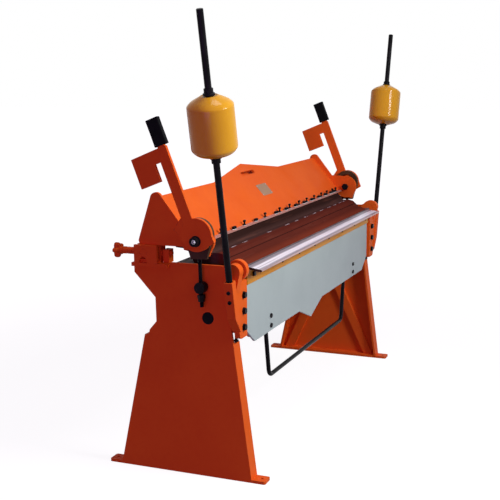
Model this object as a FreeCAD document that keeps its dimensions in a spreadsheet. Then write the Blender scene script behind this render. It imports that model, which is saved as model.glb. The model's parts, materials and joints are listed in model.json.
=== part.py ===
import FreeCAD
import Part
import Sketcher
import math
import os
import re

# Box and pan brake: a hand folder for sheet metal, with a row of fingers under a clamping beam.
# X runs along the folding edge, Y towards the back, Z up. The origin is on the floor, below the middle.
# All sizes are in millimetres. A text such as "leg_plate / 2" is a formula over the names of the sheet.

SIZES = {
    # overall
    "folding_length": 1800,
    "working_height": 858,
    # legs
    "end_room": 65,
    "leg_plate": 12,
    "foot_half": 350,
    "foot_wide": 60,
    "foot_thick": 12,
    "foot_bolt_hole": 7,
    "foot_bolt_y": 325,
    "flange_wide": 63,
    "flange_thick": 10,
    "brace_wide": 50,
    "brace_thick": 20,
    "plug_radius": 18,
    # bed
    "beam_wall": 10,
    "bed_plate": 20,
    # folding hinge
    "hinge_y": -238,
    "hinge_pin": 18,
    "ear_radius": 41,
    "barrel_radius": 31,
    # fits
    "fit_gap": 0.05,
    "face_gap": 0.3,
    # carriage behind the clamping beam
    "carriage_y": 153,
    "carriage_pin": 14,
    "screw_radius": 10,
    "screw_x": 48,
    "knob_radius": 24,
    # clamping beam
    "end_plate": 15,
    "beam_plate": 12,
    "beam_lean": 41.6,
    "gable_half": 408,
    "gable_rise": 64,
    "ledge_plate": 7.7,
    # fingers
    "finger_gap": 0.6,
    "cap_screw": 6,
    "jack_bolt": 5,
    # levers and eccentrics
    "lever_y": -88,
    "lever_lean": 21.2,
    "lever_plate": 16,
    "lever_bolt": 12,
    "eccentric_radius": 38,
    "eccentric_throw": 24,
    "strap_thick": 16,
    "strap_bore": 43.5,
    "strap_radius": 65,
    "link_rod": 8,
    "trunnion_radius": 23,
    "trunnion_pin": 12,
    "trunnion_y": -95,
    # folding leaf
    "leaf_bar": 24,
    "leaf_panel": 10,
    "leaf_frame": 20,
    "end_block": 22,
    "block_bolt": 8,
    "small_screw": 5,
    # counterweights
    "rod_radius": 12.5,
    "rod_length": 1022,
    "rod_splay": 14.2,
    "rod_forward": 0.6,
    "socket_wide": 34,
    "socket_deep": 36,
    "socket_length": 225,
    "socket_bevel": 75,
    "weight_radius": 85,
    "weight_place": 498,
    "weight_length": 224,
    "weight_crown": 36,
    "weight_base": 32,
    "handle_radius": 9.5,
}

# widths of the fingers from left to right, as shares of a folding length of 1800
FINGER_WIDTHS = [260, 250, 250, 140, 140, 140, 120, 120, 120, 100, 100, 60]

PLANES = {"YZ": ("YZ_Plane", 1, (1, 2)), "XZ": ("XZ_Plane", -1, (0, 2)), "XY": ("XY_Plane", 1, (0, 1))}
SIDES = (("left", -1), ("right", 1))

doc = FreeCAD.newDocument("box_and_pan_brake")
sheet = doc.addObject("Spreadsheet::Sheet", "Sizes")
for row, (alias, number) in enumerate(SIZES.items(), start=1):
    sheet.set(f"A{row}", alias)
    sheet.set(f"B{row}", str(number))
    sheet.setAlias(f"B{row}", alias)
doc.recompute()


def bound(formula):
    """The formula with the sheet named before each of its aliases."""
    def named(word):
        return "Sizes." + word[0] if word[0] in SIZES else word[0]

    return re.sub(r"[a-z_]{2,}", named, str(formula))


def value(formula):
    """The number that a formula gives."""
    return float(sheet.evalExpression(bound(formula)))


def up(height):
    """A height counted from the working height, so the upper works rise and fall with it."""
    return f"(working_height + ({height}))"


def out(distance):
    """A distance from the middle, counted from the end of the folding length."""
    return f"(folding_length / 2 + ({distance}))"


def span(side, near, far):
    """The low and high ends along X of a piece between two distances from the middle."""
    return (near, far) if side > 0 else (f"-({far})", f"-({near})")


LEG_IN = out("end_room")
LEG_OUT = out("end_room + leg_plate")
END_NEAR = out("end_room + 7")
END_FAR = f"({END_NEAR} + end_plate)"
DISC_NEAR = f"({END_FAR} + 1.5)"
STRAP_NEAR = f"({DISC_NEAR} + 1.5)"
STRAP_MID = f"({STRAP_NEAR} + strap_thick / 2)"
LEVER_NEAR = f"({STRAP_NEAR} + strap_thick + 2)"
LEVER_FAR = f"({LEVER_NEAR} + lever_plate)"
HINGE_Z = up(1)
LEVER_Z = up(113)
CARRIAGE_Z = up(50)
TRUNNION_Z = up(-73)
SCREW_Z = up(47)
LINK_RUN = "(lever_y - trunnion_y)"
LINK_RISE = f"({LEVER_Z} + eccentric_throw - {TRUNNION_Z})"
LINK_LENGTH = f"sqrt({LINK_RUN}^2 + {LINK_RISE}^2)"
LINK_LEAN = f"atan({LINK_RUN} / {LINK_RISE})"
NODES = []


def body_named(label):
    body = doc.addObject("PartDesign::Body", label)
    body.Label = label
    NODES.append(body)
    return body


def hold(sketch, geometry, point, u, v):
    """Ties one point of a sketch to its two formulas."""
    for kind, formula in (("DistanceX", u), ("DistanceY", v)):
        index = sketch.addConstraint(Sketcher.Constraint(kind, -1, 1, geometry, point, value(formula)))
        sketch.setExpression(f"Constraints[{index}]", bound(formula))


def draw_outline(sketch, corners):
    places = [FreeCAD.Vector(value(u), value(v), 0) for u, v in corners]
    count = len(corners)
    lines = [sketch.addGeometry(Part.LineSegment(places[n], places[(n + 1) % count])) for n in range(count)]
    for n in range(count):
        sketch.addConstraint(Sketcher.Constraint("Coincident", lines[n], 2, lines[(n + 1) % count], 1))
    for n, (u, v) in enumerate(corners):
        hold(sketch, lines[n], 1, u, v)


def draw_circle(sketch, u, v, radius):
    centre = FreeCAD.Vector(value(u), value(v), 0)
    ring = sketch.addGeometry(Part.Circle(centre, FreeCAD.Vector(0, 0, 1), value(radius)))
    hold(sketch, ring, 3, u, v)
    index = sketch.addConstraint(Sketcher.Constraint("Radius", ring, value(radius)))
    sketch.setExpression(f"Constraints[{index}]", bound(radius))


def sketch_on(body, plane, offset, shapes):
    """A sketch on one of the body's planes: a list of corners is an outline, three formulas a circle."""
    role, sign, _ = PLANES[plane]
    sketch = body.newObject("Sketcher::SketchObject", "Outline")
    support = [item for item in body.Origin.OriginFeatures if item.Role == role][0]
    sketch.AttachmentSupport = [(support, "")]
    sketch.MapMode = "FlatFace"
    sketch.setExpression("AttachmentOffset.Base.z", bound(f"{sign} * ({offset})"))
    for shape in shapes:
        if isinstance(shape, list):
            draw_outline(sketch, shape)
        else:
            draw_circle(sketch, *shape)
    return sketch


def add(body, plane, low, high, *shapes, cut=False):
    """Adds material between two places along the plane's normal, or takes it away."""
    sketch = sketch_on(body, plane, f"(({low}) + ({high})) / 2", shapes)
    before = body.Tip.Shape.Volume if body.Tip else 0
    feature = body.newObject("PartDesign::Pocket" if cut else "PartDesign::Pad", "Cut" if cut else "Plate")
    feature.Profile = sketch
    feature.SideType = "Symmetric"
    feature.setExpression("Length", bound(f"({high}) - ({low})"))
    sketch.Visibility = False
    doc.recompute()
    after = feature.Shape.Volume
    if (after >= before) if cut else (after <= before):
        raise RuntimeError(f"{body.Label}: {feature.Name} changes nothing")
    return feature


def take(body, plane, low, high, *shapes):
    return add(body, plane, low, high, *shapes, cut=True)


def rounded(body, plane, radius, *corners):
    """Rounds the edges that stand square to the plane at the given corners."""
    first, second = PLANES[plane][2]
    spots = [(value(u), value(v)) for u, v in corners]
    base = body.Tip
    names = []
    for number, edge in enumerate(base.Shape.Edges, start=1):
        ends = [vertex.Point for vertex in edge.Vertexes]
        for u, v in spots:
            if len(ends) == 2 and all(math.hypot(end[first] - u, end[second] - v) < 0.01 for end in ends):
                names.append(f"Edge{number}")
    fillet = body.newObject("PartDesign::Fillet", "Rounding")
    fillet.Base = (base, names)
    fillet.setExpression("Radius", bound(radius))
    doc.recompute()
    return fillet


def turned(body, profile):
    """A piece turned about the body's own Z axis, from corners given as radius and height."""
    sketch = sketch_on(body, "XZ", 0, [profile])
    feature = body.newObject("PartDesign::Revolution", "Turned")
    feature.Profile = sketch
    feature.ReferenceAxis = (sketch, ["V_Axis"])
    feature.Angle = 360
    sketch.Visibility = False
    doc.recompute()
    return feature


def placed(body, x, y, z, *turns):
    """Puts a body at a point, turned by each axis and angle in order, the last one first."""
    rotation = FreeCAD.Rotation()
    for axis, angle in turns:
        rotation = rotation * FreeCAD.Rotation(FreeCAD.Vector(*axis), value(angle))
    body.Placement = FreeCAD.Placement(FreeCAD.Vector(value(x), value(y), value(z)), rotation)


def group(label, solids):
    """Identical fasteners, each a solid of its own, under one name."""
    feature = doc.addObject("Part::Feature", label)
    feature.Label = label
    feature.Shape = Part.makeCompound(solids)
    NODES.append(feature)
    return feature


def rod_between(start, direction, radius, length):
    return Part.makeCylinder(radius, length, start, direction)


def hexagon(start, direction, across, length):
    """A six-sided head or nut that starts at a point and grows along a direction."""
    corner = across / math.sqrt(3)
    points = [FreeCAD.Vector(corner * math.cos(n * math.pi / 3), corner * math.sin(n * math.pi / 3), 0)
              for n in range(7)]
    prism = Part.Face(Part.makePolygon(points)).extrude(FreeCAD.Vector(0, 0, length))
    prism.Placement = FreeCAD.Placement(start, FreeCAD.Rotation(FreeCAD.Vector(0, 0, 1), direction))
    return prism


def bolt(seat, direction, shank, length, across, head):
    """A hex bolt seated at a point: the head grows along the direction, the shank goes the other way."""
    stem = rod_between(seat - direction * length, direction, shank, length)
    return stem.fuse(hexagon(seat, direction, across, head)).removeSplitter()


X_AXIS = (1, 0, 0)
Y_AXIS = (0, 1, 0)


def make_leg(name, side):
    """One welded leg: foot plate, web, two flanges, inverted V brace, hinge ear, slide pad and lug."""
    leg = body_named(f"{name}_leg")
    inner = f"{side} * ({LEG_OUT} - foot_wide)"
    outer = f"{side} * {LEG_OUT}"
    middle = f"{side} * ({LEG_OUT} - foot_wide / 2)"
    foot = [(inner, "-foot_half"), (outer, "-foot_half"), (outer, "foot_half"), (inner, "foot_half")]
    add(leg, "XY", 0, "foot_thick", foot)
    rounded(leg, "XY", 8, *foot)
    take(leg, "XY", 0, "foot_thick", (middle, "-foot_bolt_y", "foot_bolt_hole"),
         (middle, "foot_bolt_y", "foot_bolt_hole"))
    web = [(-292, "foot_thick"), (-187, up(-45)), (-215, up(-30)), (-215, up(27)), (-184, up(14)),
           (48, up(14)), (50, up(9)), (209, up(9)), (209, up(-34)), (117, up(-132)), (115, up(-231)),
           (147, up(-268)), (149, up(-285)), (169, up(-289)), (290, "foot_thick")]
    add(leg, "YZ", *span(side, LEG_IN, LEG_OUT), web)
    flange_in = f"({LEG_OUT} - flange_wide)"
    front_slope = f"(105 / ({up(-45)} - foot_thick) * ({up(-296)} - foot_thick))"
    front = [(-292, "foot_thick"), (f"-292 + {front_slope}", up(-296)),
             (f"-292 + {front_slope} + flange_thick", up(-296)), ("-292 + flange_thick", "foot_thick")]
    rear = [(290, "foot_thick"), (169, up(-289)), ("169 - flange_thick", up(-289)),
            ("290 - flange_thick", "foot_thick")]
    add(leg, "YZ", *span(side, flange_in, LEG_OUT), front)
    add(leg, "YZ", *span(side, flange_in, LEG_OUT), rear)
    for lean in (-1, 1):
        brace = [("-brace_wide / 2 + 5", up(-331)), ("brace_wide / 2 + 5", up(-331)),
                 (f"{lean} * 239 + brace_wide / 2", "foot_thick"),
                 (f"{lean} * 239 - brace_wide / 2", "foot_thick")]
        add(leg, "YZ", *span(side, f"({LEG_IN} - brace_thick)", LEG_IN), brace)
    ear_in = f"({LEG_IN} - 15)"
    neck = [("hinge_y", f"{HINGE_Z} + ear_radius"), (-187, up(15)), (-187, up(-42)),
            ("hinge_y", f"{HINGE_Z} - ear_radius")]
    add(leg, "YZ", *span(side, ear_in, LEG_OUT), ("hinge_y", HINGE_Z, "ear_radius"))
    add(leg, "YZ", *span(side, ear_in, LEG_OUT), neck)
    add(leg, "XY", up(-6), up(9), [(f"{side} * {ear_in}", 50), (f"{side} * {out(100)}", 50),
                                   (f"{side} * {out(100)}", 209), (f"{side} * {ear_in}", 209)])
    add(leg, "XY", up(9), up(62), [(f"{side} * {out(25)}", 58), (f"{side} * {LEG_IN}", 58),
                                   (f"{side} * {LEG_IN}", 84), (f"{side} * {out(25)}", 84)])
    take(leg, "XZ", 50, 92, (f"{side} * {out('screw_x')}", SCREW_Z, "screw_radius + fit_gap"))
    take(leg, "YZ", *span(side, ear_in, LEG_OUT), ("hinge_y", HINGE_Z, "hinge_pin + fit_gap"))
    take(leg, "YZ", *span(side, LEG_IN, LEG_OUT), ("trunnion_y", TRUNNION_Z, "trunnion_pin + fit_gap"),
         (-113, up(-199), "plug_radius + fit_gap"))


def make_bed():
    beam = body_named("bed_beam")
    outside = [(-185, up("-bed_plate")), (90, up("-bed_plate")), (90, up(-130)), (55, up(-168)),
               (-140, up(-168)), (-185, up(-120))]
    inside = [("-185 + beam_wall", up("-bed_plate - beam_wall")),
              ("90 - beam_wall", up("-bed_plate - beam_wall")),
              ("90 - beam_wall", up("-130 + beam_wall / 2")),
              ("55 - beam_wall / 2", up("-168 + beam_wall")),
              ("-140 + beam_wall / 2", up("-168 + beam_wall")),
              ("-185 + beam_wall", up("-120 + beam_wall / 2"))]
    add(beam, "YZ", f"-{LEG_IN}", LEG_IN, outside, inside)
    plate = body_named("bed_plate")
    profile = [(60, up(0)), (-236, up(0)), (-236, up(-7)), (-200, up(-16)), (-200, up("-bed_plate")),
               (60, up("-bed_plate"))]
    add(plate, "YZ", f"-{out(48)}", out(48), profile)


def make_pivot_block(name, side):
    """Block that carries the clamping beam's foot and slides on the leg's pad."""
    block = body_named(f"{name}_pivot_block")
    near, far = out(25), f"({END_FAR} + 16)"
    slot_near, slot_far = f"({END_NEAR} - 1)", f"({END_FAR} + 1)"
    low, high = up("9 + face_gap"), up(81.5)
    add(block, "YZ", *span(side, near, far), [(93, low), (195, low), (195, high), (93, high)])
    take(block, "YZ", *span(side, slot_near, slot_far),
         [(93, up(24)), (195, up(24)), (195, high), (93, high)])
    take(block, "YZ", *span(side, slot_far, far),
         [(138, low), (172, low), (172, up(17)), (138, up(17))])
    take(block, "YZ", *span(side, slot_far, far), ("(138 + 172) / 2", up(17), "(172 - 138) / 2"))
    take(block, "YZ", *span(side, f"({slot_near} - 10)", far),
         ("carriage_y", CARRIAGE_Z, "carriage_pin + fit_gap"))
    take(block, "YZ", *span(side, f"({far} - 2)", far), ("carriage_y", CARRIAGE_Z, "carriage_pin + 3"))
    take(block, "XZ", 93, 195, (f"{side} * {out('screw_x')}", SCREW_Z, "screw_radius + face_gap"))


def make_adjusting_screw(name, side):
    screw = body_named(f"{name}_adjusting_screw")
    turned(screw, [(0, 50), ("screw_radius", 50), ("screw_radius", 88.7), (16, 88.7), (16, 92.7),
                   ("screw_radius", 92.7), ("screw_radius", "195 + face_gap"),
                   (15, "195 + face_gap"), (15, 271), (8, 271), (8, 300), (0, 300)])
    placed(screw, f"{side} * {out('screw_x')}", 0, SCREW_Z, (X_AXIS, -90))
    knob = body_named(f"{name}_adjusting_knob")
    add(knob, "XY", 271, 311, (0, 0, "knob_radius"))
    lobe = add(knob, "XY", 273, 309, ("knob_radius - 1", 0, 9.5))
    pattern = knob.newObject("PartDesign::PolarPattern", "Lobes")
    pattern.Originals = [lobe]
    axis = [item for item in knob.Origin.OriginFeatures if item.Role == "Z_Axis"][0]
    pattern.Axis = (axis, [""])
    pattern.Angle = 360
    pattern.Occurrences = 5
    knob.Tip = pattern
    doc.recompute()
    take(knob, "XY", 271, "300 + face_gap", (0, 0, "8 + fit_gap"))
    placed(knob, f"{side} * {out('screw_x')}", 0, SCREW_Z, (X_AXIS, -90))


def make_end_plate(name, side):
    plate = body_named(f"{name}_end_plate")
    body_edge = [(-149, up(104)), (-125, up(49)), (-19, up(70)), (-15, up(82)),
                 ("carriage_y - 22", up(82)), ("carriage_y - 22", CARRIAGE_Z),
                 ("carriage_y + 22", CARRIAGE_Z), ("carriage_y + 22", up(82)),
                 (181, up(98)), (124, up(273)), (82, up(284.5)), (-44, up(124))]
    add(plate, "YZ", *span(side, END_NEAR, END_FAR), body_edge)
    add(plate, "YZ", *span(side, END_NEAR, END_FAR), (100, up(267), 25))
    add(plate, "YZ", *span(side, END_NEAR, END_FAR), ("lever_y", LEVER_Z, 61))
    add(plate, "YZ", *span(side, END_NEAR, END_FAR), ("carriage_y", CARRIAGE_Z, 22))
    ear_top = [(-75, up(172)), (-4, up(175)), (-4, up(130)), (-75, up(130))]
    add(plate, "YZ", *span(side, END_NEAR, END_FAR), ear_top)
    take(plate, "YZ", *span(side, END_NEAR, END_FAR),
         ("lever_y", LEVER_Z, "lever_bolt + fit_gap"),
         ("carriage_y", CARRIAGE_Z, "carriage_pin + fit_gap"))


def make_beam():
    """Front plate with its gable, back plate and the ledge that the fingers hang from."""
    front = body_named("beam_front_plate")
    top = 239
    half = END_NEAR
    add(front, "XY", "-beam_plate", 0,
        [(f"-{half}", 0), (half, 0), (half, top), ("gable_half", top), (0, f"{top} + gable_rise"),
         ("-gable_half", top), (f"-{half}", top)])
    take(front, "XY", "-beam_plate", 0, [(-75, 236), (85, 236), (85, 256), (-75, 256)])
    rounded(front, "XY", 8.5, (-75, 236), (85, 236), (85, 256), (-75, 256))
    bevel = [(-5, 0), (0, 0), ("beam_plate * tan(beam_lean)", "-beam_plate"), (-5, "-beam_plate")]
    take(front, "YZ", f"-{half}", half, bevel)
    placed(front, 0, -49, up(93), (X_AXIS, "90 - beam_lean"))
    lean = math.radians(value("beam_lean"))
    run, rise = math.sin(lean), math.cos(lean)
    inner_y = -49 + rise * value("beam_plate")
    inner_z = 93 - run * value("beam_plate")
    low, high = 205, 226
    weld_low = (f"{inner_y + run * low}", up(f"{inner_z + rise * low}"))
    weld_high = (f"{inner_y + run * high}", up(f"{inner_z + rise * high}"))
    back = body_named("beam_back_plate")
    add(back, "YZ", f"-{half}", half, [weld_low, weld_high, (176, up(93)), (165, up(93))])
    ledge = body_named("beam_ledge")
    add(ledge, "YZ", f"-{half}", half,
        [(-66, up(93)), (-66, up("93 - ledge_plate")), (177, up("93 - ledge_plate")), (177, up(93))])


def finger_spans():
    """Start and width of each finger along X, in formulas of the folding length."""
    place = 0
    spans = []
    for width in FINGER_WIDTHS:
        spans.append((f"folding_length * ({place} / 1800 - 0.5)", f"folding_length * {width} / 1800"))
        place += width
    return spans


def finger_screws(width):
    """Places of a finger's cap screws and of its jack bolt, from the finger's middle."""
    pair, single = (-59, 60) if width > 200 else (min(4, width / 2 - 39), width / 2 - 12)
    return (pair - 9, pair + 9), single


def make_fingers():
    """Twelve fingers, with the heads of their cap screws and their T-headed jack bolts on the ledge."""
    toe = [(-60, up("face_gap")), (-233, up("face_gap")), (-222, up(4)), (-187, up(14)), (-170, up(31))]
    nose = [(-155, up(44)), (-131, up(50)), (-100, up(48))]
    root = [(-63, up("85 - face_gap")), (60, up("85 - face_gap")), (60, up(62)), (-5, up(57)), (-5, up(42))]
    profile = toe + nose + root + [(-20, up(2))]
    high, along = FreeCAD.Vector(0, 0, 1), FreeCAD.Vector(1, 0, 0)
    top = value(up(93))
    caps, jacks = [], []
    for number, ((start, width), share) in enumerate(zip(finger_spans(), FINGER_WIDTHS), start=1):
        finger = body_named(f"finger_{number:02d}")
        add(finger, "YZ", f"{start} + finger_gap / 2", f"{start} + {width} - finger_gap / 2", profile)
        pair, single = finger_screws(share)
        middle = value(f"{start} + {width} / 2")
        for place in pair:
            caps.append(hexagon(FreeCAD.Vector(middle + place, -58, top), high, value("cap_screw") * 2.2, 11))
        seat = FreeCAD.Vector(middle + single, -56, top)
        nut = hexagon(seat, high, value("jack_bolt") * 2.6, 7)
        stem = hexagon(seat, high, value("jack_bolt") * 1.6, 22)
        bar = hexagon(seat + FreeCAD.Vector(-9, 0, 18), along, value("jack_bolt") * 1.3, 18)
        jacks.append(nut.fuse([stem, bar]).removeSplitter())
    group("finger_cap_screws", caps)
    group("finger_jack_bolts", jacks)


def make_lever(name, side):
    """Hand lever with its hook, pointed toe and the eccentric on its inner face."""
    lever = body_named(f"{name}_lever")
    reach = math.radians(value("lever_lean"))
    centre = (f"-eccentric_throw * {math.sin(reach)}", f"eccentric_throw * {math.cos(reach)}")
    plate = span(side, LEVER_NEAR, LEVER_FAR)
    arm = [(-19, 0), (26, 0), (26, 332), (53, 332), (53, 262), (144, 262), (144, 384), (26, 386), (16, 386),
           (16, 480), (-14, 480), (-14, 386), (-19, 386)]
    add(lever, "YZ", *plate, arm)
    add(lever, "YZ", *plate, (*centre, 66))
    add(lever, "YZ", *plate, [(-72, 8), (-72, -30), (-30, -37), (0, 0)])
    add(lever, "YZ", *span(side, DISC_NEAR, LEVER_NEAR), (*centre, "eccentric_radius"))
    take(lever, "YZ", *span(side, DISC_NEAR, LEVER_FAR), (0, 0, "lever_bolt + fit_gap"))
    placed(lever, 0, "lever_y", LEVER_Z, (X_AXIS, "-lever_lean"))
    grip = body_named(f"{name}_lever_grip")
    middle = f"({LEVER_NEAR} + lever_plate / 2)"
    add(grip, "YZ", *span(side, f"{middle} - 13", f"{middle} + 13"),
        [(-29, 391), (26, 391), (26, 501), (-29, 501)])
    rounded(grip, "YZ", 5, (-29, 391), (26, 391), (26, 501), (-29, 501))
    take(grip, "YZ", *span(side, f"{LEVER_NEAR} - face_gap", f"{LEVER_FAR} + face_gap"),
         [("-14 - face_gap", 391), ("16 + face_gap", 391), ("16 + face_gap", 481), ("-14 - face_gap", 481)])
    placed(grip, 0, "lever_y", LEVER_Z, (X_AXIS, "-lever_lean"))


def make_link(name, side):
    """Tension link: strap round the eccentric, threaded rod with nuts, and the trunnion in the leg."""
    place = (0, "trunnion_y", TRUNNION_Z, (X_AXIS, f"-{LINK_LEAN}"))
    head = body_named(f"{name}_link_head")
    strap = span(side, STRAP_NEAR, f"({STRAP_NEAR} + strap_thick)")
    add(head, "YZ", *strap, (0, LINK_LENGTH, "strap_radius"))
    neck = f"({LINK_LENGTH} - 97)"
    shoulder = f"({LINK_LENGTH} - 38)"
    add(head, "YZ", *strap, [(-52, shoulder), (-34, neck), (34, neck), (52, shoulder)])
    take(head, "YZ", *strap, (0, LINK_LENGTH, "strap_bore"))
    placed(head, *place)
    rod = body_named(f"{name}_link_rod")
    centre = f"{side} * {STRAP_MID}"
    add(rod, "XY", -77, neck, (centre, 0, "link_rod"))
    for low, high, across in ((-43, -28, 28), (-56, -43, 24)):
        corners = [(f"{centre} + {across / math.sqrt(3) * math.cos(n * math.pi / 3)}",
                    across / math.sqrt(3) * math.sin(n * math.pi / 3)) for n in range(6)]
        add(rod, "XY", low, high, corners)
    placed(rod, *place)
    trunnion = body_named(f"{name}_trunnion")
    add(trunnion, "YZ", *span(side, f"({LEG_OUT} + 2)", f"({STRAP_MID} + 18)"), (0, 0, "trunnion_radius"))
    add(trunnion, "YZ", *span(side, f"({LEG_IN} + 1)", f"({LEG_OUT} + 2)"), (0, 0, "trunnion_pin"))
    take(trunnion, "XY", -30, 30, (centre, 0, "link_rod + fit_gap"))
    placed(trunnion, *place)


def make_leaf():
    """Folding leaf: nose bar, ochre bar, panel and the frame behind the panel."""
    nose = body_named("nose_bar")
    edge = [(-241.3, up(0.8)), (-307, up(-10)), (-308, up(-16)), (-302, up(-19)), (-241.3, up(-8.5))]
    add(nose, "YZ", f"-{out(-11)}", out(-11), edge)
    bar = body_named("leaf_bar")
    half = out(-12)
    bar_front = -246
    bar_back = f"{bar_front} + leaf_bar"
    add(bar, "YZ", f"-{half}", half, [(bar_front, up(-9.4)), (-241.4, up(-8.6)), (-238, up(-13)),
                                      (bar_back, up(-15)), (bar_back, up(-74)), (bar_front, up(-74))])
    screws = [f"folding_length * ({n} * 220 - 490) / 1800" for n in range(7)]
    panel = body_named("leaf_panel")
    back = -229
    tongue = [(out(-105), up(-326)), (89, up(-326)), (-80, up(-387)), (-245, up(-326)),
              (f"-{out(-105)}", up(-326))]
    add(panel, "XZ", f"{back} - leaf_panel", back,
        [(f"-{half}", up(-74)), (half, up(-74)), (half, up(-259))] + tongue + [(f"-{half}", up(-259))])
    frame = body_named("leaf_frame")
    tab = out(58)
    add(frame, "XZ", back, f"{back} + leaf_frame",
        [(f"-{tab}", up(-74)), (tab, up(-74)), (tab, up(-254)), (out(-15), up(-254)), (out(-100), up(-310)),
         (f"-{out(-100)}", up(-310)), (f"-{out(-15)}", up(-254)), (f"-{tab}", up(-254))],
        [(f"-{out(-120)}", up(-134)), (out(-120), up(-134)), (out(-120), up(-230)),
         (f"-{out(-120)}", up(-230))])
    block_spots = [(f"{side} * {out(43)}", up(drop)) for _, side in SIDES for drop in (-101, -165, -230)]
    take(frame, "XZ", back, f"{back} + leaf_frame", *[(x, z, "block_bolt + fit_gap") for x, z in block_spots])
    take(frame, "XY", up(-254), up(-242),
         *[(f"{side} * {out(47)}", -220, "6 + fit_gap") for _, side in SIDES])
    panel_spots = [(f"{side} * {out(-285)}", up(drop)) for _, side in SIDES for drop in (-260, -302)]
    forward = FreeCAD.Vector(0, -1, 0)
    bolts = []
    for x, z in block_spots:
        seat = FreeCAD.Vector(value(x), back - value("end_block"), value(z))
        bolts.append(bolt(seat, forward, value("block_bolt"), value("end_block + leaf_frame"), 24, 12))
    heads = [(x, z, back - value("leaf_panel"), 3.2, 6) for x, z in panel_spots]
    heads += [(x, up(-48), bar_front, 2.4, 2) for x in screws]
    heads.append((f"-{out(-75)}", up(-38), bar_front, 4, 9))
    for x, z, front, wide, thick in heads:
        seat = FreeCAD.Vector(value(x), front, value(z))
        bolts.append(hexagon(seat, forward, value("small_screw") * wide, thick))
    for _, side in SIDES:
        seat = FreeCAD.Vector(side * value(out(47)), -220, value(up(-283)))
        bolts.append(bolt(seat, FreeCAD.Vector(0, 0, -1), 6, 38, 18, 8))
    return bolts


ROD_START = (159, -242, -27)


def make_end_block(name, side):
    """Plate on the leaf's end with the hinge barrel, and the bar that holds the counterweight's rod."""
    block = body_named(f"{name}_end_block")
    back = -229
    slope = "tan(rod_splay)"
    edge_top = f"({out(ROD_START[0])} - socket_wide / 2 / cos(rod_splay) - {slope} - fit_gap)"
    edge_low = f"({edge_top} - 137 * {slope})"
    corners = [(out(6), up(-46)), (out(80), up(-46)), (out(83), up(-28)), (edge_top, up(-28)),
               (edge_low, up(-165)), (out(78), up(-273)), (out(6), up(-273))]
    mirrored = [(f"{side} * ({x})", z) for x, z in corners]
    add(block, "XZ", f"{back} - end_block", back, mirrored)
    rounded(block, "XZ", 20, mirrored[5])
    barrel_near, barrel_far = out(83), out(122)
    add(block, "YZ", *span(side, barrel_near, barrel_far), ("hinge_y", HINGE_Z, "barrel_radius"))
    neck = [("hinge_y - barrel_radius", HINGE_Z), ("hinge_y + barrel_radius", HINGE_Z), (back, up(-85)),
            (f"{back} - end_block", up(-85))]
    add(block, "YZ", *span(side, barrel_near, barrel_far), neck)
    take(block, "YZ", *span(side, barrel_near, f"({barrel_far} - 8)"),
         ("hinge_y", HINGE_Z, "hinge_pin + fit_gap"))
    take(block, "XZ", f"{back} - end_block", back,
         *[(f"{side} * {out(43)}", up(drop), "block_bolt + fit_gap") for drop in (-101, -165, -230)])


def along_rod(body, side):
    """Puts a body that stands on its own Z axis on the leaning line of the rod."""
    x, y, z = ROD_START
    placed(body, f"{side} * {out(x)}", y, up(z), (Y_AXIS, f"{side} * rod_splay"), (X_AXIS, "rod_forward"))


def make_counterweight(name, side):
    socket = body_named(f"{name}_rod_socket")
    add(socket, "XZ", "-socket_deep / 2", "socket_deep / 2",
        [("-socket_wide / 2", 0), ("socket_wide / 2", 0),
         ("socket_wide / 2", f"-socket_length + {(side + 1) / 2} * socket_bevel"),
         ("-socket_wide / 2", f"-socket_length + {(1 - side) / 2} * socket_bevel")])
    take(socket, "XY", "-socket_length + socket_bevel + 10", 0, (0, 0, "rod_radius + fit_gap"))
    along_rod(socket, side)
    rod = body_named(f"{name}_rod")
    foot = "-socket_length + socket_bevel + 12"
    turned(rod, [(0, foot), ("rod_radius", foot),
                 ("rod_radius", "rod_length - 2"), ("rod_radius - 2", "rod_length"), (0, "rod_length")])
    along_rod(rod, side)
    weight = body_named(f"{name}_counterweight")
    low, high = "weight_place", "weight_place + weight_length"
    bore = "rod_radius + fit_gap"
    turned(weight, [(bore, low), (30, low), ("weight_radius - 14", f"{low} + weight_base - 16"),
                    ("weight_radius", f"{low} + weight_base"),
                    ("weight_radius", f"{high} - weight_crown"),
                    ("weight_radius - 14", f"{high} - weight_crown + 16"), (30, high), (bore, high)])
    along_rod(weight, side)


def make_rod_fittings(leaf_bolts):
    """Collars above and below each weight, and the two screws that grip each rod in its socket."""
    screws = []
    for name, side in SIDES:
        x, y, z = ROD_START
        start = FreeCAD.Vector(side * value(out(x)), y, value(up(z)))
        turn = FreeCAD.Rotation(FreeCAD.Vector(*Y_AXIS), side * value("rod_splay"))
        turn = turn * FreeCAD.Rotation(FreeCAD.Vector(*X_AXIS), value("rod_forward"))
        axis = turn.multVec(FreeCAD.Vector(0, 0, 1))
        outward = turn.multVec(FreeCAD.Vector(side, 0, 0))
        collars = []
        for low in (value("weight_place") - 25.3, value("weight_place + weight_length") + 0.3):
            ring = rod_between(start + axis * low, axis, 22, 25)
            collars.append(ring.cut(rod_between(start + axis * low, axis, value("rod_radius + fit_gap"), 25)))
        group(f"{name}_rod_collars", collars)
        for drop in (40, 81):
            seat = start - axis * drop + outward * value("socket_wide / 2")
            screws.append(hexagon(seat, outward, value("small_screw") * 3, 6))
    group("leaf_bolts", leaf_bolts + screws)


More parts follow.
